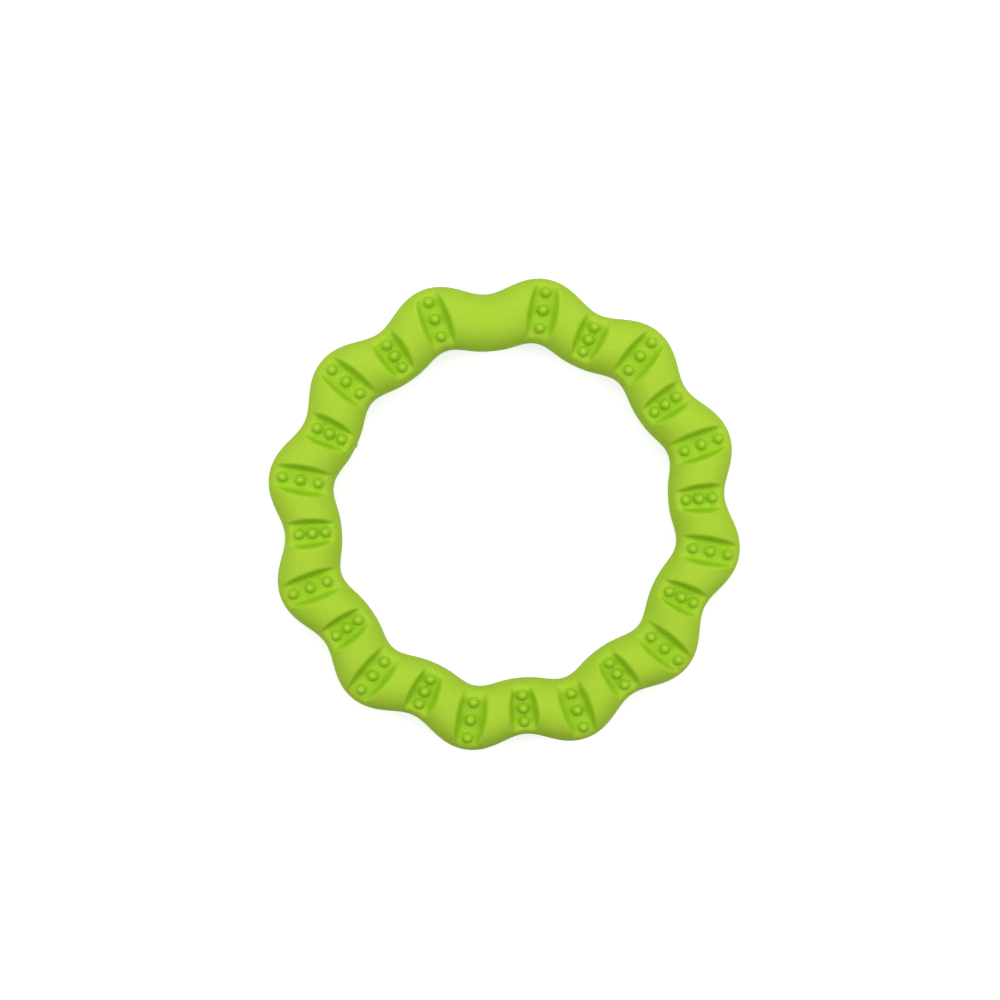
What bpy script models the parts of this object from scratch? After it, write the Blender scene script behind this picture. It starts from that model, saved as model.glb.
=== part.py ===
"""Wavy teething ring: two soft half shells bonded over a firm core ring.

Metres, +Z up. The origin is on the ring's axis, at the level of the face that it lies on.
The band's inner and outer edges are waves in polar form. Its section is an arch above and
below a level parting plane, so every piece is one loop of points carried round the axis.
"""

import math
from collections import namedtuple

import bmesh
import bpy

# Waves of the band, as seen from above
WAVE_COUNT = 12
RING_RADIUS = 0.04595
WAVE_SWING = 0.0016
CREST_BAND_WIDTH = 0.0149
TROUGH_BAND_WIDTH = 0.0130
BAND_FULLNESS = 0.00055
BARE_TROUGH_ANGLE = math.radians(90)

# Section of the band
BAND_HEIGHT = 0.0130
LAND_WIDTH = 0.0016
SIDE_WALL = 0.0032
FLOOR_WALL = 0.0016
CORE_LAND = 0.0020

# Joint between the two half shells
SEAM_GAP = 0.0003
FIT_GAP = 0.0003
GROOVE_WIDTH = 0.0014
GROOVE_DEPTH = 0.0010

# Sunk panels: large ones on the crests, small ones in the troughs, which narrow inwards
PANEL_DEPTH = 0.0030
PANEL_DRAFT = math.radians(18)
LARGE_FLOOR_WIDTH = 0.0046
SMALL_FLOOR_WIDTH = 0.0044
LARGE_END_SLOPE = math.radians(10)
SMALL_END_SLOPE = math.radians(28)
LARGE_TAPER = 0.0
SMALL_TAPER = math.radians(3)

# Row of beads on each panel's floor
BEADS_IN_ROW = 3
LARGE_BEAD_PITCH = 0.00413
SMALL_BEAD_PITCH = 0.00309
BEAD_RADIUS = 0.0013
BEAD_HEIGHT = 0.0019

# How finely the rounds are drawn
STATIONS_PER_WAVE = 8
BAND_ARCH_STEPS = 4
CORE_ARCH_STEPS = 2
BEAD_SIDES = 6
BEAD_SHOULDER = math.radians(42)
SHARP_ANGLE = math.radians(40)

# Levels and angles that follow from the sizes above
MID_LEVEL = BAND_HEIGHT / 2
RIM_LEVEL = MID_LEVEL + SEAM_GAP / 2
FLOOR_LEVEL = BAND_HEIGHT - PANEL_DEPTH
BRIM_LEVEL = BAND_HEIGHT + PANEL_DEPTH
BEAD_ROOT_LEVEL = FLOOR_LEVEL - FLOOR_WALL / 2
CAVITY_TOP = FLOOR_LEVEL - FLOOR_WALL
GROOVE_INSET = (SIDE_WALL - GROOVE_WIDTH) / 2
WAVE_ANGLE = math.tau / WAVE_COUNT
FIRST_CREST_ANGLE = BARE_TROUGH_ANGLE + WAVE_ANGLE / 2

Panel = namedtuple("Panel", "floor_width end_slope taper bead_pitch")
LARGE_PANEL = Panel(LARGE_FLOOR_WIDTH, LARGE_END_SLOPE, LARGE_TAPER, LARGE_BEAD_PITCH)
SMALL_PANEL = Panel(SMALL_FLOOR_WIDTH, SMALL_END_SLOPE, SMALL_TAPER, SMALL_BEAD_PITCH)


def clear_scene():
    for old in list(bpy.data.objects):
        bpy.data.objects.remove(old, do_unlink=True)


def make_material(name, colour, roughness):
    material = bpy.data.materials.new(name)
    material.use_nodes = True
    shader = material.node_tree.nodes["Principled BSDF"]
    shader.inputs["Base Color"].default_value = (*colour, 1.0)
    shader.inputs["Roughness"].default_value = roughness
    shader.inputs["Metallic"].default_value = 0.0
    return material


def band_edges(angle):
    """Inner and outer radius of the band at a polar angle.

    The band's middle swings out and in as a cosine. Its width goes from crest to trough
    as a cosine too, and is fuller than that half-way between them.
    """
    phase = WAVE_COUNT * (angle - FIRST_CREST_ANGLE)
    middle = RING_RADIUS + WAVE_SWING * math.cos(phase)
    mean_width = (CREST_BAND_WIDTH + TROUGH_BAND_WIDTH) / 2
    width_swing = (CREST_BAND_WIDTH - TROUGH_BAND_WIDTH) / 2
    width = mean_width + width_swing * math.cos(phase) + BAND_FULLNESS * math.sin(phase) ** 2
    return middle - width / 2, middle + width / 2


def arch(inner, outer, foot, top, land, steps):
    """Points (radius, height) from the outer foot over a flat land to the inner foot."""
    middle = (inner + outer) / 2
    reach = (outer - inner - land) / 2
    quarter = []
    for step in range(steps + 1):
        turn = math.pi / 2 * step / steps
        across = land / 2 + reach * math.cos(turn)
        quarter.append((across, foot + (top - foot) * math.sin(turn)))
    outer_side = [(middle + across, height) for across, height in quarter]
    inner_side = [(middle - across, height) for across, height in reversed(quarter)]
    return outer_side + inner_side


def upper_level(height):
    return height


def lower_level(height):
    """The height that mirrors a height in the parting plane."""
    return BAND_HEIGHT - height


def mirror_levels(points):
    """The same loop below the parting plane, run the other way round."""
    return [(radius, lower_level(height)) for radius, height in reversed(points)]


def rim_groove(start):
    """Groove in a shell's rim, opening downwards, from its inner to its outer wall."""
    end = start + GROOVE_WIDTH
    roof = RIM_LEVEL + GROOVE_DEPTH
    return [(start, RIM_LEVEL), (start, roof), (end, roof), (end, RIM_LEVEL)]


def groove_starts(angle):
    """Radius at which the inner and the outer rim's groove begin."""
    inner, outer = band_edges(angle)
    return inner + GROOVE_INSET, outer - SIDE_WALL + GROOVE_INSET


def upper_shell_loop(angle):
    inner, outer = band_edges(angle)
    inner_groove, outer_groove = groove_starts(angle)
    skin = arch(inner, outer, RIM_LEVEL, BAND_HEIGHT, LAND_WIDTH, BAND_ARCH_STEPS)
    cavity = arch(
        inner + SIDE_WALL, outer - SIDE_WALL, RIM_LEVEL, CAVITY_TOP, CORE_LAND, CORE_ARCH_STEPS
    )
    return skin + rim_groove(inner_groove) + cavity[::-1] + rim_groove(outer_groove)


def lower_shell_loop(angle):
    return mirror_levels(upper_shell_loop(angle))


def core_loop(angle):
    inner, outer = band_edges(angle)
    inset = SIDE_WALL + FIT_GAP
    top = CAVITY_TOP - FIT_GAP
    upper = arch(inner + inset, outer - inset, MID_LEVEL, top, CORE_LAND, CORE_ARCH_STEPS)
    return upper + mirror_levels(upper)[1:-1]


def bond_strip_loop(groove_start):
    """Rectangle that fills the two facing grooves of a rim, less the fit gap all round."""
    start = groove_start + FIT_GAP
    end = groove_start + GROOVE_WIDTH - FIT_GAP
    roof = RIM_LEVEL + GROOVE_DEPTH - FIT_GAP
    base = lower_level(roof)
    return [(end, base), (end, roof), (start, roof), (start, base)]


def inner_strip_loop(angle):
    return bond_strip_loop(groove_starts(angle)[0])


def outer_strip_loop(angle):
    return bond_strip_loop(groove_starts(angle)[1])


def turned_out(angle, along, across, height):
    """Point given along the spoke at an angle, across that spoke, and upwards."""
    x = along * math.cos(angle) - across * math.sin(angle)
    y = along * math.sin(angle) + across * math.cos(angle)
    return x, y, height


def object_from(bm, name):
    bmesh.ops.recalc_face_normals(bm, faces=bm.faces)
    mesh = bpy.data.meshes.new(name)
    bm.to_mesh(mesh)
    bm.free()
    mesh.shade_smooth()
    mesh.set_sharp_from_angle(angle=SHARP_ANGLE)
    made = bpy.data.objects.new(name, mesh)
    bpy.context.collection.objects.link(made)
    return made


def bridge(bm, first, second):
    """Quads between two closed rings of as many vertices."""
    count = len(first)
    for here in range(count):
        after = (here + 1) % count
        bm.faces.new((first[here], first[after], second[after], second[here]))


def sweep_round(name, loop_at, material):
    """Carry a section loop round the axis and close it on itself."""
    bm = bmesh.new()
    station_count = WAVE_COUNT * STATIONS_PER_WAVE
    stations = []
    for station in range(station_count):
        angle = FIRST_CREST_ANGLE + math.tau * station / station_count
        loop = [turned_out(angle, radius, 0.0, height) for radius, height in loop_at(angle)]
        stations.append([bm.verts.new(point) for point in loop])
    for station in range(station_count):
        bridge(bm, stations[station], stations[(station + 1) % station_count])
    made = object_from(bm, name)
    made.data.materials.append(material)
    return made


def panel_places():
    """Polar angle and kind of each panel, with the bare trough left out."""
    places = []
    for wave in range(WAVE_COUNT):
        crest = FIRST_CREST_ANGLE + wave * WAVE_ANGLE
        places.append((crest, LARGE_PANEL))
        if wave < WAVE_COUNT - 1:
            places.append((crest + WAVE_ANGLE / 2, SMALL_PANEL))
    return places


def panel_section(panel, offset):
    """Corners (across, height) of a panel's trough at an offset from the band's middle.

    The floor is level between the row's outer beads and turns up past them. The walls
    lean out by the draft.
    """
    past_row = max(abs(offset) - panel.bead_pitch, 0.0)
    floor = FLOOR_LEVEL + past_row * math.tan(panel.end_slope)
    half_floor = panel.floor_width / 2 + offset * math.tan(panel.taper)
    half_brim = half_floor + (BRIM_LEVEL - floor) * math.tan(PANEL_DRAFT)
    return [(-half_floor, floor), (half_floor, floor), (half_brim, BRIM_LEVEL), (-half_brim, BRIM_LEVEL)]


def add_panel_cutter(bm, angle, panel, level_of):
    """Trough as long as the band is wide, bent where its floor turns up."""
    inner, outer = band_edges(angle)
    middle = (inner + outer) / 2
    sections = []
    for along in (inner, middle - panel.bead_pitch, middle + panel.bead_pitch, outer):
        section = panel_section(panel, along - middle)
        corners = [turned_out(angle, along, across, level_of(height)) for across, height in section]
        sections.append([bm.verts.new(corner) for corner in corners])
    for here, after in zip(sections, sections[1:]):
        bridge(bm, here, after)
    bm.faces.new(sections[0])
    bm.faces.new(sections[-1])


def add_bead(bm, angle, along, level_of):
    """Dome with a shoulder ring, rooted a little way into the panel's floor."""
    shoulder_radius = BEAD_RADIUS * math.cos(BEAD_SHOULDER)
    shoulder_level = FLOOR_LEVEL + BEAD_HEIGHT * math.sin(BEAD_SHOULDER)
    rings = []
    for radius, height in ((BEAD_RADIUS, BEAD_ROOT_LEVEL), (shoulder_radius, shoulder_level)):
        ring = []
        for side in range(BEAD_SIDES):
            turn = math.tau * side / BEAD_SIDES
            spoke = along + radius * math.cos(turn)
            corner = turned_out(angle, spoke, radius * math.sin(turn), level_of(height))
            ring.append(bm.verts.new(corner))
        rings.append(ring)
    bridge(bm, rings[0], rings[1])
    bm.faces.new(rings[0])
    tip = bm.verts.new(turned_out(angle, along, 0.0, level_of(FLOOR_LEVEL + BEAD_HEIGHT)))
    for side in range(BEAD_SIDES):
        bm.faces.new((rings[1][side], rings[1][(side + 1) % BEAD_SIDES], tip))


def as_tool(made):
    made.hide_render = True
    made.display_type = "WIRE"
    return made


def add_boolean(target, tool, operation):
    step = target.modifiers.new(tool.name, "BOOLEAN")
    step.operation = operation
    step.solver = "EXACT"
    step.use_self = True
    step.object = tool


def texture_shell(shell, level_of):
    """Sink the panels into a half shell and raise a row of beads on each panel's floor."""
    cutters = bmesh.new()
    beads = bmesh.new()
    for angle, panel in panel_places():
        add_panel_cutter(cutters, angle, panel, level_of)
        middle = sum(band_edges(angle)) / 2
        for bead in range(BEADS_IN_ROW):
            offset = (bead - (BEADS_IN_ROW - 1) / 2) * panel.bead_pitch
            add_bead(beads, angle, middle + offset, level_of)
    cutter_tool = as_tool(object_from(cutters, shell.name + "_panel_cutters"))
    bead_tool = as_tool(object_from(beads, shell.name + "_beads"))
    add_boolean(shell, cutter_tool, "DIFFERENCE")
    add_boolean(shell, bead_tool, "UNION")


def main():
    clear_scene()
    soft_rubber = make_material("soft_green_rubber", (0.42, 0.67, 0.05), 0.5)
    firm_rubber = make_material("firm_natural_rubber", (0.72, 0.68, 0.55), 0.6)
    bond_rubber = make_material("bonding_rubber", (0.60, 0.72, 0.30), 0.4)
    upper = sweep_round("upper_shell", upper_shell_loop, soft_rubber)
    lower = sweep_round("lower_shell", lower_shell_loop, soft_rubber)
    texture_shell(upper, upper_level)
    texture_shell(lower, lower_level)
    sweep_round("core_ring", core_loop, firm_rubber)
    sweep_round("inner_bond_strip", inner_strip_loop, bond_rubber)
    sweep_round("outer_bond_strip", outer_strip_loop, bond_rubber)


main()
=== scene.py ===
# %% [markdown]
# # A wavy teething ring in soft green rubber
#
# The ring is a thick, rounded rubber band that swings out and in as it goes round. Panels are
# sunk across it, and a row of small beads stands on the floor of each panel for sore gums.
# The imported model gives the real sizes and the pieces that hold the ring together. This script
# gives the two visible halves their fine shape and their finish, and sets up the picture.

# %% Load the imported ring
import math
from collections import namedtuple

import bpy
import numpy as np
from mathutils import Matrix, Vector


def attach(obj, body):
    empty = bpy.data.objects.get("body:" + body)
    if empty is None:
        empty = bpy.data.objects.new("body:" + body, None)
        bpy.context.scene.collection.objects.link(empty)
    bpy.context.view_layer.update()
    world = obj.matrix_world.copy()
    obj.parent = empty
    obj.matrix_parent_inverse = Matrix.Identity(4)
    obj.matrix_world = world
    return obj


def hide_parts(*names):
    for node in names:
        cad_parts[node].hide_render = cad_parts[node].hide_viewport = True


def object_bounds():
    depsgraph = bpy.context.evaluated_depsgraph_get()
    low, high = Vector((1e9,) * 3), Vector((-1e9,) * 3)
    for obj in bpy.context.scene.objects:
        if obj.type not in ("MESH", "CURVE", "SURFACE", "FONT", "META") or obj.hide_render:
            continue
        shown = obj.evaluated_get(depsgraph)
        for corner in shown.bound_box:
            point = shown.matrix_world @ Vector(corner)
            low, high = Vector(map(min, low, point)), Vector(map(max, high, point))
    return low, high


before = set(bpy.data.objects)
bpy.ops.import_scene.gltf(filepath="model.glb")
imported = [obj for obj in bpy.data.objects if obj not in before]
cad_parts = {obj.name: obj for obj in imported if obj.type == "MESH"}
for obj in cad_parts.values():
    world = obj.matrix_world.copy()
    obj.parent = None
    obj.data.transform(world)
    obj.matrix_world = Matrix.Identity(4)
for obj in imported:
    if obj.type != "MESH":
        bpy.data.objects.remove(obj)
cad_low, cad_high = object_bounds()
mm = 0.001
print("packed pieces:", sorted(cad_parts))
print("packed box in mm:", [round(side / mm, 2) for side in cad_high - cad_low])

# %% [markdown]
# ## The run of the band
#
# Seen from above, the band's middle line is a circle that swings out and in twelve times, and
# the band is wider on the crests than in the troughs. Both are cosines of the angle round the
# axis, so two short formulas give the inner and the outer edge at any angle. The height of the
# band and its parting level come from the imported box.

# %% Sizes of the band
wave_count = 12
ring_radius = 45.95 * mm
wave_swing = 1.6 * mm
crest_width = 14.9 * mm
trough_width = 13.0 * mm
half_way_fullness = 0.55 * mm
land_width = 0.6 * mm
bare_trough = math.radians(90)

parting_level = (cad_low.z + cad_high.z) / 2
band_rise = (cad_high.z - cad_low.z) / 2
spoke_count = 2 * wave_count
spoke_step = 2 * math.pi / spoke_count
first_crest = bare_trough + spoke_step


def band_middle_and_width(turn):
    """Middle radius: the ring's radius plus the swing times cos(12 turns). Width: the mean of
    crest and trough plus half their difference times the same cosine, plus the fullness times
    the sine squared."""
    phase = wave_count * (turn - first_crest)
    middle = ring_radius + wave_swing * np.cos(phase)
    width = (crest_width + trough_width) / 2 + (crest_width - trough_width) / 2 * np.cos(phase)
    return middle, width + half_way_fullness * np.sin(phase) ** 2


crest_middle, crest_band = band_middle_and_width(first_crest)
print("outer diameter over the crests in mm:", round((2 * crest_middle + crest_band) / mm, 2))

# %% [markdown]
# ## A grid that is fine where the detail is
#
# The panels lie on spokes of the ring, one on each crest and one in each trough. A surface
# worked out on a grid is only as sharp as its grid, and the steep walls of the panels need the
# most points. So the stations round the ring crowd together half way between each spoke and the
# edge of its share, where the walls stand, and spread out elsewhere. Across the band, the
# points are even steps of a lean from the outer rim to the inner one, as on a round section.

# %% Stations round the ring and leans across the band
stations_on_spoke = 38
leans_across = 53
draw_to_walls = 0.6


def drawn_half_way(steady, draw):
    """Numbers from -1 to 1 crowded round each half: s plus draw times sin(2 pi s) over 2 pi."""
    return steady + draw * np.sin(2 * math.pi * steady) / (2 * math.pi)


spoke_index = np.repeat(np.arange(spoke_count), stations_on_spoke)
steady_share = (np.arange(stations_on_spoke) + 0.5) / stations_on_spoke * 2 - 1
spoke_share = np.tile(drawn_half_way(steady_share, draw_to_walls), spoke_count)
spoke_turn = first_crest + spoke_step * spoke_index
station_turn = spoke_turn + spoke_step / 2 * spoke_share
lean = np.linspace(math.pi / 2, -math.pi / 2, leans_across)
print("stations:", len(station_turn), "leans:", len(lean))

# %% [markdown]
# ## Soft blends
#
# Moulded rubber has no sharp edges. Where a panel's wall meets the crown or the floor, the two
# heights are blended: the lower (or higher) of the two is taken, and eased by a small parabola
# where they come close. A bevel on a finished mesh would round the edges too, but this is
# cheap, keeps the grid even and works on whole arrays.

# %% Blends of two heights
def soft_lower(a, b, blend):
    """The lower of two heights, less a parabola where they differ by under the blend length."""
    close = np.maximum(blend - np.abs(a - b), 0.0) / blend
    return np.minimum(a, b) - close**2 * blend / 4


def soft_higher(a, b, blend):
    """The higher of two heights, plus the same parabola."""
    return -soft_lower(-a, -b, blend)


print("a blend of 1 between equal heights lowers them by:", -soft_lower(0.0, 0.0, 1.0))

# %% [markdown]
# ## The skin of a half
#
# The skin starts as a plain arch over the band. Each panel is a trough with steep walls, cut
# straight down. Its floor is level along the row of beads and turns up past it, and the ends
# fade out where the round side drops below the floor. Large panels lie on the crests. Small
# ones lie in the troughs and narrow a little inwards, and one trough is left plain. A modifier
# that cuts one solid by another could do it, but heights on the grid give the soft brims freely.

# %% Sizes of the panels
panel_depth = 3.0 * mm
panel_draft = math.radians(18)
large_floor = 4.6 * mm
small_floor = 4.4 * mm
large_pitch = 4.13 * mm
small_pitch = 3.09 * mm
large_end_slope = math.radians(10)
small_end_slope = math.radians(28)
small_taper = math.radians(3)
brim_blend = 1.8 * mm
corner_blend = 0.4 * mm
end_blend = 0.6 * mm


def by_panel(on_large, on_small):
    """One value for each station: that of its large or small panel, as a column."""
    return np.where(spoke_index % 2 == 0, on_large, on_small)[:, None]


floor_rise = band_rise - panel_depth
floor_width = by_panel(large_floor, small_floor)
floor_taper = by_panel(0.0, math.tan(small_taper))
end_slope = by_panel(math.tan(large_end_slope), math.tan(small_end_slope))
row_end = by_panel(large_pitch, small_pitch)
is_bare = spoke_index == spoke_count - 1
print("panels on each face:", len(np.unique(spoke_index[~is_bare])))

# %% Heights of the skin over the parting level
def plain_arch(across, width):
    """A flat land, then a quarter ellipse down to the parting level on each side."""
    reach = (width - land_width) / 2
    past_land = np.maximum(np.abs(across) - land_width / 2, 0.0) / reach
    return band_rise * np.sqrt(np.maximum(1.0 - past_land**2, 0.0))


def past_floor_edge(sideways, along):
    """Distance beyond the edge of the panel's floor, negative over the floor itself."""
    return np.abs(sideways) - floor_width / 2 - floor_taper * along


def panel_cut(sideways, along):
    """A floor that is level along the row of beads and slopes up past it, plus walls that rise
    by the distance past the floor's edge over the tangent of the draft."""
    level = np.zeros_like(along)
    end = (np.abs(along) - row_end) * end_slope
    wall = past_floor_edge(sideways, along) / math.tan(panel_draft)
    floor = floor_rise + soft_higher(end, level, end_blend)
    return floor + soft_higher(wall, level, corner_blend)


def place_on_panel(radius, turn):
    """How far each point lies sideways from its spoke, as radius times the sine of the angle
    away, and along it from the band's middle, as radius times the cosine less the middle."""
    away = turn - spoke_turn[:, None]
    spoke_middle = band_middle_and_width(spoke_turn)[0][:, None]
    return radius * np.sin(away), radius * np.cos(away) - spoke_middle


def skin_rise(arch, sideways, along):
    """The plain arch, cut by the panel of its spoke where that has one."""
    cut = soft_lower(arch, panel_cut(sideways, along), brim_blend)
    return np.where(is_bare[:, None], arch, cut)


print("height of a panel's floor over the parting level in mm:", round(floor_rise / mm, 2))

# %% [markdown]
# ## Beads
#
# Three beads stand on the floor of each panel. A bead is a surface of revolution: a tall ball
# from the tip down to its steep side, then a small hollow fillet that runs out level on the
# floor. The skin's grid is too coarse for them, so they are small domes of their own. One side
# view serves them all, and each copy is moved to its place on its spoke. A few rings are
# enough, since they are shaded smooth.

# %% Sizes and side view of a bead
bead_radius = 1.27 * mm
bead_height = 1.9 * mm
bead_fillet = 0.22 * mm
bead_slope = math.radians(82)
bead_root = 0.02 * mm
bead_sides = 16
ball_steps = 6
fillet_steps = 2


def bead_side_view():
    """Radius and rise over the floor from tip to foot. The ball is an arc of an ellipse, with
    the radius by the sine of its angle and the rise by the cosine. The fillet is a hollow arc
    from the bead's slope back to level."""
    on_ball = np.linspace(0.0, bead_slope, ball_steps + 1)[1:]
    in_fillet = np.linspace(bead_slope, 0.0, fillet_steps + 1)[1:]
    ball_rise = bead_height + bead_root - bead_fillet * (1 - math.cos(bead_slope))
    stretch = ball_rise / (1 - math.cos(bead_slope))
    radius = bead_radius * np.sin(on_ball)
    rise = bead_height - stretch * (1 - np.cos(on_ball))
    foot_radius = radius[-1] + bead_fillet * (math.sin(bead_slope) - np.sin(in_fillet))
    foot_rise = bead_fillet * (1 - np.cos(in_fillet)) - bead_root
    return np.hstack([radius, foot_radius]), np.hstack([rise, foot_rise])


bead_view = bead_side_view()
print("bead foot diameter in mm:", round(2 * bead_view[0][-1] / mm, 2))

# %% Places of the beads
steps_in_row = [-1, 0, 1]
spokes_with_beads = np.arange(spoke_count - 1)
row_turn = np.repeat(first_crest + spoke_step * spokes_with_beads, len(steps_in_row))
row_pitch = np.where(spokes_with_beads % 2 == 0, large_pitch, small_pitch)
row_step = np.outer(row_pitch, steps_in_row).ravel()
bead_reach = band_middle_and_width(row_turn)[0] + row_step
bead_centre = np.stack([bead_reach * np.cos(row_turn), bead_reach * np.sin(row_turn)], axis=-1)
print("beads on each face:", len(bead_centre))

# %% [markdown]
# ## Traces of the mould
#
# Two small marks tell how the ring was made. A hair line runs round both edges where the mould
# halves met, standing a few hundredths of a millimetre proud, and one speck of rubber is left
# on the inner edge where the gate was cut off. Both are real shape and not shading, since they
# show on the outline.

# %% Sizes of the mould marks
witness_height = 0.05 * mm
witness_spread = 0.14 * mm
gate_turn = math.radians(150)
gate_height = 0.30 * mm
gate_spread = 0.32 * mm
hair_line = 0.02 * mm


def mould_marks(radius, turn, across, rise):
    """Distance pushed out of the side. The ridge is a bell curve of the height over the parting
    level, and the gate's speck is a bell curve of that height and the way round the ring."""
    ridge = witness_height * np.exp(-((rise / witness_spread) ** 2))
    off_gate = radius * (turn - gate_turn)
    speck = gate_height * np.exp(-((off_gate / gate_spread) ** 2) - (rise / gate_spread) ** 2)
    return np.sign(across) * (ridge + np.where(across < 0, speck, 0.0))


print("mould line stands proud by mm:", witness_height / mm, "and the speck by:", gate_height / mm)

# %% [markdown]
# ## The hidden side of each half
#
# Each half is a real shell with a wall, so its loop of points goes on past the rim: into the
# groove for the bond strip, over the hollow that holds the core, and out through the other
# groove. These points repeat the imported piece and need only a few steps.

# %% Loop of the wall behind the skin
side_wall = 3.2 * mm
floor_wall = 1.6 * mm
core_land = 2.0 * mm
groove_width = 1.4 * mm
groove_depth = 1.0 * mm
shoulder_out = 0.7
shoulder_up = 0.7


def wall_loop(middle, width):
    """Radius and rise of the steps behind the skin, from the inner rim to the outer one: groove,
    hollow and groove. They are worked out on one side of the middle and mirrored."""
    half = width / 2
    near = half - side_wall
    groove_outer = half - (side_wall - groove_width) / 2
    groove_inner = groove_outer - groove_width
    hollow_top = floor_rise - floor_wall
    shoulder = core_land / 2 + (near - core_land / 2) * shoulder_out
    half_loop = [
        (core_land / 2, hollow_top),
        (shoulder, hollow_top * shoulder_up),
        (near, hair_line),
        (groove_inner, hair_line),
        (groove_inner, groove_depth),
        (groove_outer, groove_depth),
        (groove_outer, hair_line),
    ]
    steps = [(-out, up) for out, up in reversed(half_loop)] + half_loop
    radius = np.stack([middle + out for out, up in steps], axis=1)
    rise = np.stack([np.full_like(middle, up) for out, up in steps], axis=1)
    return radius, rise


print("wall over the hollow in mm:", round(floor_wall / mm, 2))

# %% [markdown]
# ## Painted shade in the panels
#
# Soft rubber lets a little light through. What falls into a panel bounces between its faces and
# passes through their skin before it leaves, so the sunk faces look a deeper green than plain
# shade makes them, most of all at the foot of the walls, and the tips of the beads look paler.
# Light scattered under the surface could do this, but it is slow and blurs the small beads. So
# this shade is painted into the colour instead, as a deeper green on the sunk faces and the bead
# sides, and as a paler painted highlight on the bead tips: one number for each point, from 0 on
# the open face to 1 at the foot of a wall, and less than 0 on the tip of a bead. The mesh keeps
# it as an attribute and the finish reads it.

# %% Painted shade and highlight of the skin and the beads
# Painted shade in the panels: how deep it reaches full strength, its fade past the beads and near
# the walls.
painted_shade_depth = 0.7 * mm
painted_shade_fade = 2.2 * mm
painted_shade_corner = 1.0 * mm
floor_painted_shade = 0.42
# Painted shade on the sides of the beads and painted highlight on their tips, and how far down the
# highlight runs.
bead_side_painted_shade = 0.68
tip_painted_highlight = -0.45
tip_highlight_depth = 0.35 * mm


def painted_shade_of_skin(below, sideways, along):
    """Painted shade: 0 on the open face and 1 at the foot of a wall. The floor between has a share
    of it, and the painted shade fades out past the row of beads."""
    deep = np.clip(below / painted_shade_depth, 0.0, 1.0)
    by_row = np.clip((row_end + painted_shade_fade - np.abs(along)) / painted_shade_fade, 0.0, 1.0)
    by_wall = np.clip(1.0 + past_floor_edge(sideways, along) / painted_shade_corner, 0.0, 1.0)
    return deep * by_row * (floor_painted_shade + (1.0 - floor_painted_shade) * by_wall)


def painted_shade_and_highlight_of_beads(rise):
    """The painted highlight of a tip at the top, running evenly to the painted shade of a side a
    little below it.
    """
    below_tip = floor_rise + bead_height - rise
    return tip_painted_highlight + (bead_side_painted_shade - tip_painted_highlight) * np.clip(below_tip / tip_highlight_depth, 0.0, 1.0)


print("tint of tip, side and floor:", tip_painted_highlight, bead_side_painted_shade, floor_painted_shade)

# %% [markdown]
# ## From grid to mesh
#
# The skin and the wall are joined into one closed loop of points at every station. Faces are
# index arithmetic on that grid, wrapped round both ways, so the shell has no open edge. The
# beads are closed below their floor and belong to the same mesh, as they do to the same
# moulding. The skin and the beads are shaded smooth. The faces behind are flat, which keeps
# the rim crisp.

# %% Grid of the shell
def half_shell_grid():
    """Radius, turn, rise and painted shade of every point: stations in rows, loop points across. A
    point lies out from the middle by half the width times the sine of its lean."""
    turn = station_turn[:, None]
    middle, width = band_middle_and_width(station_turn)
    across = width[:, None] / 2 * np.sin(lean)[None, :]
    radius = middle[:, None] + across
    arch = plain_arch(across, width[:, None])
    sideways, along = place_on_panel(radius, turn)
    rise = skin_rise(arch, sideways, along)
    # Painted shade: deeper where the skin lies further below the plain arch.
    painted_shading = painted_shade_of_skin(arch - rise, sideways, along)
    radius = radius + mould_marks(radius, turn, across, rise)
    rise = np.maximum(rise, hair_line)
    wall_out, wall_up = wall_loop(middle, width)
    painted_shading = np.hstack([painted_shading, np.zeros_like(wall_up)])
    return np.hstack([radius, wall_out]), turn, np.hstack([rise, wall_up]), painted_shading


def wrapped_quads(rows, columns):
    """Quads of a grid that closes on itself both ways: each point with the next in its column,
    the one across and the next in its row. They face out for a loop run outer to inner."""
    row, column = np.meshgrid(np.arange(rows), np.arange(columns), indexing="ij")
    next_row = (row + 1) % rows
    next_column = (column + 1) % columns
    corners = [(row, column), (next_row, column), (next_row, next_column), (row, next_column)]
    return np.stack([r * columns + c for r, c in corners], axis=-1).reshape(-1, 4)


print("points in the loop of a station:", half_shell_grid()[0].shape[1])

# %% Points and faces of the beads
def bead_points():
    """Every bead as its tip, the rings of its side view and a foot point under the floor."""
    radius, rise = bead_view
    turn = np.arange(bead_sides) * 2 * math.pi / bead_sides
    out = np.outer(radius, np.cos(turn))
    aside = np.outer(radius, np.sin(turn))
    up = np.outer(rise, np.ones(bead_sides))
    rings = np.stack([out, aside, up], axis=-1).reshape(-1, 3)
    tip = np.array([[0.0, 0.0, bead_height]])
    foot = np.array([[0.0, 0.0, -bead_fillet]])
    one_bead = np.vstack([tip, rings, foot]) + np.array([0.0, 0.0, floor_rise])
    moved = np.pad(bead_centre, ((0, 0), (0, 1)))
    return (moved[:, None, :] + one_bead[None, :, :]).reshape(-1, 3)


def bead_faces():
    """Quads between the rings of one bead, then triangles at its tip and at its foot. All face
    outwards."""
    rings = len(bead_view[0])
    side = np.arange(bead_sides)
    after = (side + 1) % bead_sides
    row = 1 + bead_sides * np.arange(rings - 1)[:, None]
    below = row + bead_sides
    quads = np.stack([row + side, below + side, below + after, row + after], axis=-1)
    last = 1 + bead_sides * (rings - 1)
    foot = last + bead_sides
    tip_fan = np.stack([np.zeros_like(side), 1 + side, 1 + after], axis=-1)
    foot_fan = np.stack([np.full_like(side, foot), last + after, last + side], axis=-1)
    return quads.reshape(-1, 4), tip_fan, foot_fan


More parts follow.
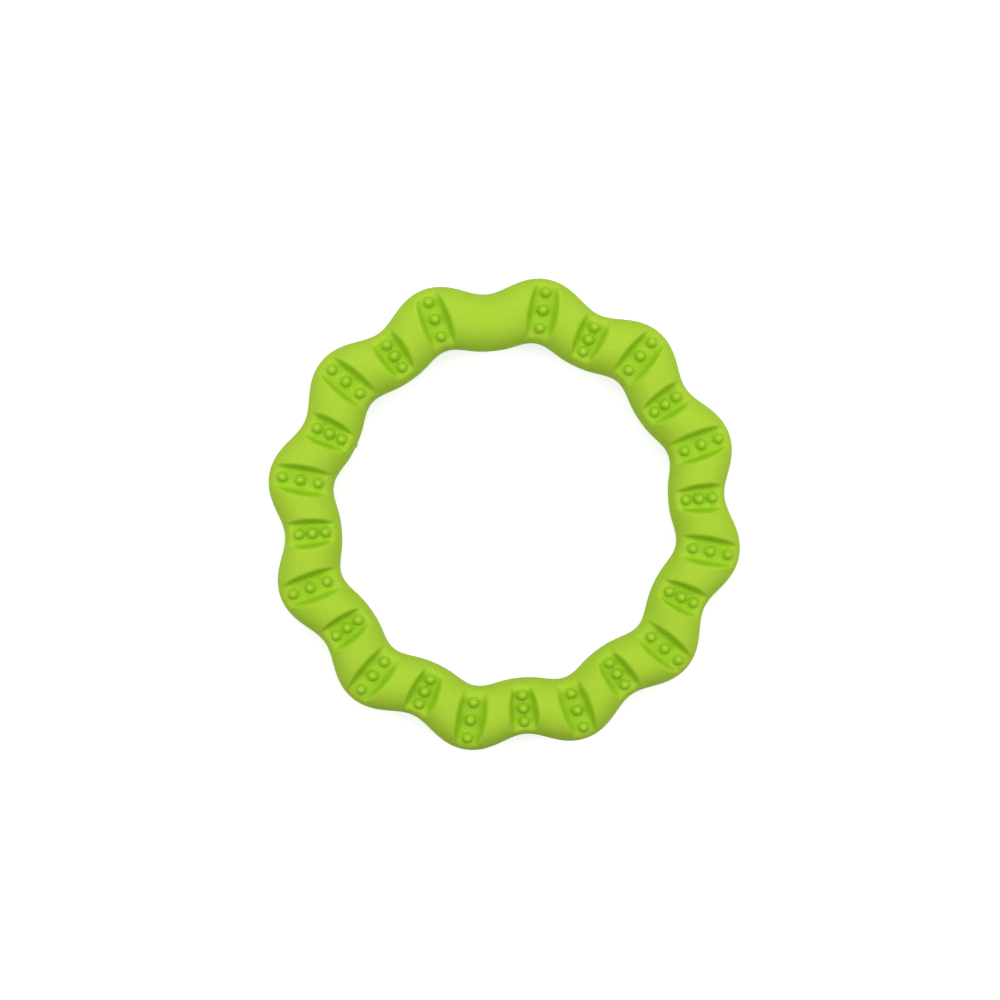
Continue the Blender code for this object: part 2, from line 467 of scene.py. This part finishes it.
def repeated(faces, start, points_each, count):
    """The same faces for each of a run of copies whose points follow one another."""
    shift = start + points_each * np.arange(count)
    return (faces[None] + shift[:, None, None]).reshape(-1, faces.shape[1])


print("faces of one bead:", sum(len(faces) for faces in bead_faces()))

# %% Points and faces of a half
def half_points():
    """Points of the shell and then of the beads, risen from level 0, and the painted shade and
    highlight of each.
    """
    radius, turn, rise, painted_shading = half_shell_grid()
    shell = np.stack([radius * np.cos(turn), radius * np.sin(turn), rise], axis=-1)
    beads = bead_points()
    points = np.vstack([shell.reshape(-1, 3), beads])
    return points, np.hstack([painted_shading.ravel(), painted_shade_and_highlight_of_beads(beads[:, 2])]), radius.shape


def half_faces(rows, columns):
    """Faces in four lots: the shell, then the sides, the tips and the feet of all the beads."""
    start = rows * columns
    points_each = bead_sides * len(bead_view[0]) + 2
    beads = [repeated(faces, start, points_each, len(bead_centre)) for faces in bead_faces()]
    return [wrapped_quads(rows, columns), *beads]


def smooth_faces(rows, columns, lots):
    """True on the skin and on the sides and tips of the beads, False on the faces behind."""
    shell, sides, tips, feet = lots
    on_skin = np.tile(np.arange(columns) < leans_across - 1, rows)
    return np.hstack([on_skin, np.ones(len(sides) + len(tips), bool), np.zeros(len(feet), bool)])


print("points of a half:", len(half_points()[0]))

# %% Build the two halves
def make_half(name, way):
    """One half shell: way is 1 for the upper half and -1 for its mirror image below."""
    points, painted_shading, grid = half_points()
    points[:, 2] = parting_level + way * points[:, 2]
    lots = half_faces(*grid)
    mesh = bpy.data.meshes.new(name)
    mesh.from_pydata(points.tolist(), [], sum([lot[:, ::way].tolist() for lot in lots], []))
    mesh.polygons.foreach_set("use_smooth", smooth_faces(*grid, lots))
    # Each point keeps the strength of its painted shade and highlight for the finish.
    mesh.attributes.new("painted_shade_and_highlight", "FLOAT", "POINT")
    mesh.attributes["painted_shade_and_highlight"].data.foreach_set("value", painted_shading)
    mesh.update()
    half = bpy.data.objects.new(name, mesh)
    bpy.context.collection.objects.link(half)
    triangles = sum(len(lot) * (lot.shape[1] - 2) for lot in lots)
    print(name, "triangles:", triangles, "height in mm:", round(np.ptp(points[:, 2]) / mm, 2))
    return half


upper_half = make_half("upper_half", 1)
lower_half = make_half("lower_half", -1)

# %% [markdown]
# ## Soft green rubber
#
# The rubber is a yellow green with a satin face. The pigment is never perfectly even, so two
# near greens drift over the ring. The painted shade of the sunk faces takes them to a deeper
# green, and the painted highlight on the bead tips, below 0, to a paler one, so that mix isn't
# held between its two colours. Close up there is a very fine mould grain: dark flecks, a slight
# change of gloss and a shallow relief, all from one noise. The patterns are noise in the
# object's own coordinates, so they stay put from any side and need no picture.

# %% Helpers for a finish
noise_low = 0.3
noise_high = 0.7


def start_material(name):
    """A new material, with its nodes and links at hand."""
    material = bpy.data.materials.new(name)
    material.use_nodes = True
    return material, material.node_tree.nodes, material.node_tree.links


def noise_at(nodes, links, grain_size, detail):
    """Noise whose lumps are about the given size, read from the object's own coordinates."""
    place = nodes.new("ShaderNodeTexCoord")
    noise = nodes.new("ShaderNodeTexNoise")
    noise.inputs["Scale"].default_value = 1.0 / grain_size
    noise.inputs["Detail"].default_value = detail
    links.new(place.outputs["Object"], noise.inputs["Vector"])
    return noise.outputs["Fac"]


def mixed_colour(nodes, links, share, first, second):
    """The first colour where the share is 0 and the second where it is 1, and on past them in
    the same steps. Either may be a socket."""
    mix = nodes.new("ShaderNodeMix")
    mix.data_type = "RGBA"
    mix.clamp_factor = False
    for place, colour in (("A", first), ("B", second)):
        if isinstance(colour, tuple):
            mix.inputs[place].default_value = (*colour, 1.0)
        else:
            links.new(colour, mix.inputs[place])
    links.new(share, mix.inputs["Factor"])
    return mix.outputs["Result"]


def rescaled(nodes, links, noise, low, high):
    """The middle range of a noise, where nearly all of it lies, spread from low to high."""
    stretch = nodes.new("ShaderNodeMapRange")
    stretch.inputs["From Min"].default_value = noise_low
    stretch.inputs["From Max"].default_value = noise_high
    stretch.inputs["To Min"].default_value = low
    stretch.inputs["To Max"].default_value = high
    links.new(noise, stretch.inputs["Value"])
    return stretch.outputs["Result"]


def add_grain(nodes, links, shader, height, depth, strength):
    """A fine relief that tilts the shading, and leaves the shape alone."""
    bump = nodes.new("ShaderNodeBump")
    bump.inputs["Distance"].default_value = depth
    bump.inputs["Strength"].default_value = strength
    links.new(height, bump.inputs["Height"])
    links.new(bump.outputs["Normal"], shader.inputs["Normal"])


print("range of noise in use:", noise_low, "to", noise_high)

# %% The finish of the two halves
pigment_size = 9 * mm
pigment_detail = 2.0
grain_size = 0.3 * mm
grain_detail = 1.0
grain_depth = 0.03 * mm
grain_strength = 0.4
pale_green = (0.446, 0.696, 0.043)
even_green = (0.430, 0.678, 0.039)
# The deeper green painted into the panels as shade; mixed past 0 it paints the bead tips paler, as
# a highlight.
painted_shade_green = (0.362, 0.656, 0.017)
fleck_green = (0.215, 0.400, 0.012)
fleck_share = 0.2
smoothest = 0.56
roughest = 0.68
rubber_ior = 1.45
rubber_gloss = 0.10


def soft_green_rubber():
    """Two greens by the pigment's noise, then the painted shade and highlight by the attribute,
    then the flecks.
    """
    material, nodes, links = start_material("soft_green_rubber")
    shader = nodes["Principled BSDF"]
    pigment = rescaled(nodes, links, noise_at(nodes, links, pigment_size, pigment_detail), 0.0, 1.0)
    grain = noise_at(nodes, links, grain_size, grain_detail)
    # Reads the painted shade and highlight kept on the mesh.
    painted_shading = nodes.new("ShaderNodeAttribute")
    painted_shading.attribute_name = "painted_shade_and_highlight"
    open_face = mixed_colour(nodes, links, pigment, even_green, pale_green)
    # Paints the shade into the panels and the highlight onto the bead tips.
    all_faces = mixed_colour(nodes, links, painted_shading.outputs["Fac"], open_face, painted_shade_green)
    flecks = rescaled(nodes, links, grain, 0.0, fleck_share)
    colour = mixed_colour(nodes, links, flecks, all_faces, fleck_green)
    links.new(colour, shader.inputs["Base Color"])
    links.new(rescaled(nodes, links, grain, smoothest, roughest), shader.inputs["Roughness"])
    add_grain(nodes, links, shader, grain, grain_depth, grain_strength)
    shader.inputs["IOR"].default_value = rubber_ior
    shader.inputs["Specular IOR Level"].default_value = rubber_gloss
    return material


rubber = soft_green_rubber()
for half, node in ((upper_half, "upper_shell"), (lower_half, "lower_shell")):
    half.data.materials.append(rubber)
    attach(half, "root")
    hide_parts(node)
print("finished halves:", upper_half.name, lower_half.name)

# %% [markdown]
# ## The pieces inside
#
# The firm core and the two bond strips are closed in and don't show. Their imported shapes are
# right as they are, so they stay, with a matte rubber and a clearer bonding rubber of their own.

# %% Finish of the core and the bond strips
inner_grain = 0.6 * mm
inner_detail = 3.0
inner_grain_depth = 0.03 * mm
inner_grain_strength = 0.4
core_light = (0.76, 0.72, 0.59)
core_dark = (0.68, 0.63, 0.50)
core_roughness = 0.6
bond_light = (0.63, 0.75, 0.34)
bond_dark = (0.55, 0.68, 0.26)
bond_roughness = 0.4


def plain_inner_rubber(name, light, dark, roughness):
    """Two near colours mixed by one noise, which is also the relief."""
    material, nodes, links = start_material(name)
    shader = nodes["Principled BSDF"]
    grain = noise_at(nodes, links, inner_grain, inner_detail)
    links.new(mixed_colour(nodes, links, grain, dark, light), shader.inputs["Base Color"])
    shader.inputs["Roughness"].default_value = roughness
    add_grain(nodes, links, shader, grain, inner_grain_depth, inner_grain_strength)
    return material


core_rubber = plain_inner_rubber("firm_core_rubber", core_light, core_dark, core_roughness)
bond_rubber = plain_inner_rubber("bonding_rubber", bond_light, bond_dark, bond_roughness)
inner_finishes = {
    "core_ring": core_rubber,
    "inner_bond_strip": bond_rubber,
    "outer_bond_strip": bond_rubber,
}
for node, finish in inner_finishes.items():
    inner_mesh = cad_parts[node].data
    inner_mesh.materials.clear()
    inner_mesh.materials.append(finish)
print("finished inside:", list(inner_finishes))

# %% [markdown]
# ## Floor
#
# The ring lies on a pale sheet. A white sheet under the lamps would throw so much light back up
# that the undersides lose their shade. So the sheet lights the ring as a grey one does, and the
# Light Path node adds the rest of its white only where it is seen, straight or in a gloss. The
# sheet still takes light and shade, so the ring keeps its faint shadow.

# %% Floor
floor_side = 40.0
floor_grey = 0.60
floor_glow = 0.68
floor_roughness = 0.9


def seen_directly(nodes, links):
    """1 where a ray comes straight from the camera or by a mirror or glass, 0 elsewhere."""
    path = nodes.new("ShaderNodeLightPath")
    seen = path.outputs["Is Camera Ray"]
    for other in ("Is Glossy Ray", "Is Transmission Ray"):
        either = nodes.new("ShaderNodeMath")
        either.operation = "MAXIMUM"
        links.new(seen, either.inputs[0])
        links.new(path.outputs[other], either.inputs[1])
        seen = either.outputs[0]
    return seen


def pale_sheet():
    """A grey that takes light and shade, plus a white glow where it is seen directly."""
    material, nodes, links = start_material("pale_sheet")
    shader = nodes["Principled BSDF"]
    shader.inputs["Base Color"].default_value = (floor_grey, floor_grey, floor_grey, 1.0)
    shader.inputs["Roughness"].default_value = floor_roughness
    shader.inputs["Specular IOR Level"].default_value = 0.0
    shader.inputs["Emission Color"].default_value = (1.0, 1.0, 1.0, 1.0)
    glow = nodes.new("ShaderNodeMath")
    glow.operation = "MULTIPLY"
    glow.inputs[1].default_value = floor_glow
    links.new(seen_directly(nodes, links), glow.inputs[0])
    links.new(glow.outputs[0], shader.inputs["Emission Strength"])
    return material


floor_mesh = bpy.data.meshes.new("floor")
edge = floor_side / 2
corner_ways = [(-1, -1), (1, -1), (1, 1), (-1, 1)]
floor_corners = [(edge * across, edge * along, cad_low.z) for across, along in corner_ways]
floor_mesh.from_pydata(floor_corners, [], [(0, 1, 2, 3)])
floor_mesh.materials.append(pale_sheet())
floor = bpy.data.objects.new("floor", floor_mesh)
bpy.context.collection.objects.link(floor)
print("floor side in m:", floor_side)

# %% [markdown]
# ## Light
#
# A weak sky lights the ring from all round. One large soft box stands high beyond its far side,
# and two lower ones to its left and right, so the shade falls softly towards the viewer. Large
# boxes far off give soft edges and no hot spots. The sky is seen as pale as the far floor, so
# that no edge shows behind the ring.

# %% Directions and aim
photo_up = math.radians(85.0)
ring_centre = Vector((0.0, 0.0, parting_level))
straight_up = Vector((0.0, 0.0, 1.0))


def level_way(turn):
    """A level direction at an angle round the axis."""
    return Vector((math.cos(turn), math.sin(turn), 0.0))


def aim(thing, stand, target, up):
    """Put a lamp or camera at a point, looking at a target, with its upper edge towards up."""
    ahead = (target - stand).normalized()
    right = ahead.cross(up).normalized()
    above = right.cross(ahead)
    turn = Matrix((right, above, -ahead)).transposed().to_4x4()
    thing.matrix_world = Matrix.Translation(stand) @ turn


print("the picture's upward direction:", [round(part, 3) for part in level_way(photo_up)])

# %% Sky
sky_strength = 0.28
sky_seen = 0.85

world = bpy.data.worlds.new("soft_sky")
world.use_nodes = True
bpy.context.scene.world = world
sky_nodes = world.node_tree.nodes
sky_links = world.node_tree.links
sky = sky_nodes["Background"]
sky.inputs["Color"].default_value = (1.0, 1.0, 1.0, 1.0)
brightness = sky_nodes.new("ShaderNodeMapRange")
brightness.inputs["To Min"].default_value = sky_strength
brightness.inputs["To Max"].default_value = sky_seen
sky_links.new(seen_directly(sky_nodes, sky_links), brightness.inputs["Value"])
sky_links.new(brightness.outputs["Result"], sky.inputs["Strength"])
print("sky lights with:", sky_strength, "and is seen as:", sky_seen)

# %% Soft boxes
box_size = 0.6
box_distance = 0.8
SoftBox = namedtuple("SoftBox", "degrees_from_top degrees_high watts")
soft_boxes = {
    "far_box": SoftBox(0, 56, 2.66),
    "left_box": SoftBox(90, 48, 2.05),
    "right_box": SoftBox(-90, 48, 2.1),
}

for name, box in soft_boxes.items():
    lamp = bpy.data.lights.new(name, "AREA")
    lamp.size = box_size
    lamp.energy = box.watts
    soft_box = bpy.data.objects.new(name, lamp)
    bpy.context.collection.objects.link(soft_box)
    side_way = level_way(photo_up + math.radians(box.degrees_from_top))
    tilt = math.radians(box.degrees_high)
    stand = ring_centre + box_distance * (math.cos(tilt) * side_way + math.sin(tilt) * straight_up)
    aim(soft_box, stand, ring_centre, straight_up)
    print(name, "stands in m:", [round(part, 2) for part in stand], "power in W:", box.watts)

# %% [markdown]
# ## A dark card
#
# Along the near edge of the picture, just outside it and more to the left, stands a dark card.
# It keeps the low light of the sky and the floor beyond it off that side of the ring and so
# deepens its shade, as such cards do in a photographer's studio. The card is hidden from the
# camera, and the lamps shine through it, so it leaves no mark on the floor.

# %% Dark card
card_distance = 0.125
card_to_left = 0.055
card_width = 0.30
card_height = 0.065
card_grey = 0.03

card_near = level_way(photo_up + math.radians(180))
card_left = level_way(photo_up + math.radians(90))
card_side = card_left * card_width / 2
card_foot = card_near * card_distance + card_left * card_to_left + straight_up * cad_low.z
card_top = card_foot + straight_up * card_height
card_corners = [
    card_foot - card_side,
    card_foot + card_side,
    card_top + card_side,
    card_top - card_side,
]

card_mesh = bpy.data.meshes.new("dark_card")
card_mesh.from_pydata([tuple(corner) for corner in card_corners], [], [(0, 1, 2, 3)])
card_paint = start_material("dark_card")[0]
card_shader = card_paint.node_tree.nodes["Principled BSDF"]
card_shader.inputs["Base Color"].default_value = (card_grey, card_grey, card_grey, 1.0)
card_mesh.materials.append(card_paint)
card = bpy.data.objects.new("dark_card", card_mesh)
card.visible_camera = False
card.visible_shadow = False
bpy.context.collection.objects.link(card)
print("card in mm:", round(card_width / mm), "wide and", round(card_height / mm), "high")

# %% [markdown]
# ## Camera
#
# The ring is seen almost straight down, from a little to its upper left, and turned by five
# degrees. Blender's tracking constraint is unsure of its turn when it looks down, so the camera
# is placed by a matrix, with its upward direction given.

# %% Camera
camera_stand = Vector((-17.1, 20.2, 416.2)) * mm
camera_target = Vector((-0.99, 3.59, 6.5)) * mm
camera_lens = 64.1
sensor_width = 36.0

camera_data = bpy.data.cameras.new("camera")
camera_data.lens = camera_lens
camera_data.sensor_width = sensor_width
camera = bpy.data.objects.new("camera", camera_data)
bpy.context.collection.objects.link(camera)
aim(camera, camera_stand, camera_target, level_way(photo_up))
bpy.context.scene.camera = camera
bpy.context.scene.view_settings.view_transform = "Standard"
print("camera distance in mm:", round((camera_stand - camera_target).length / mm, 1))
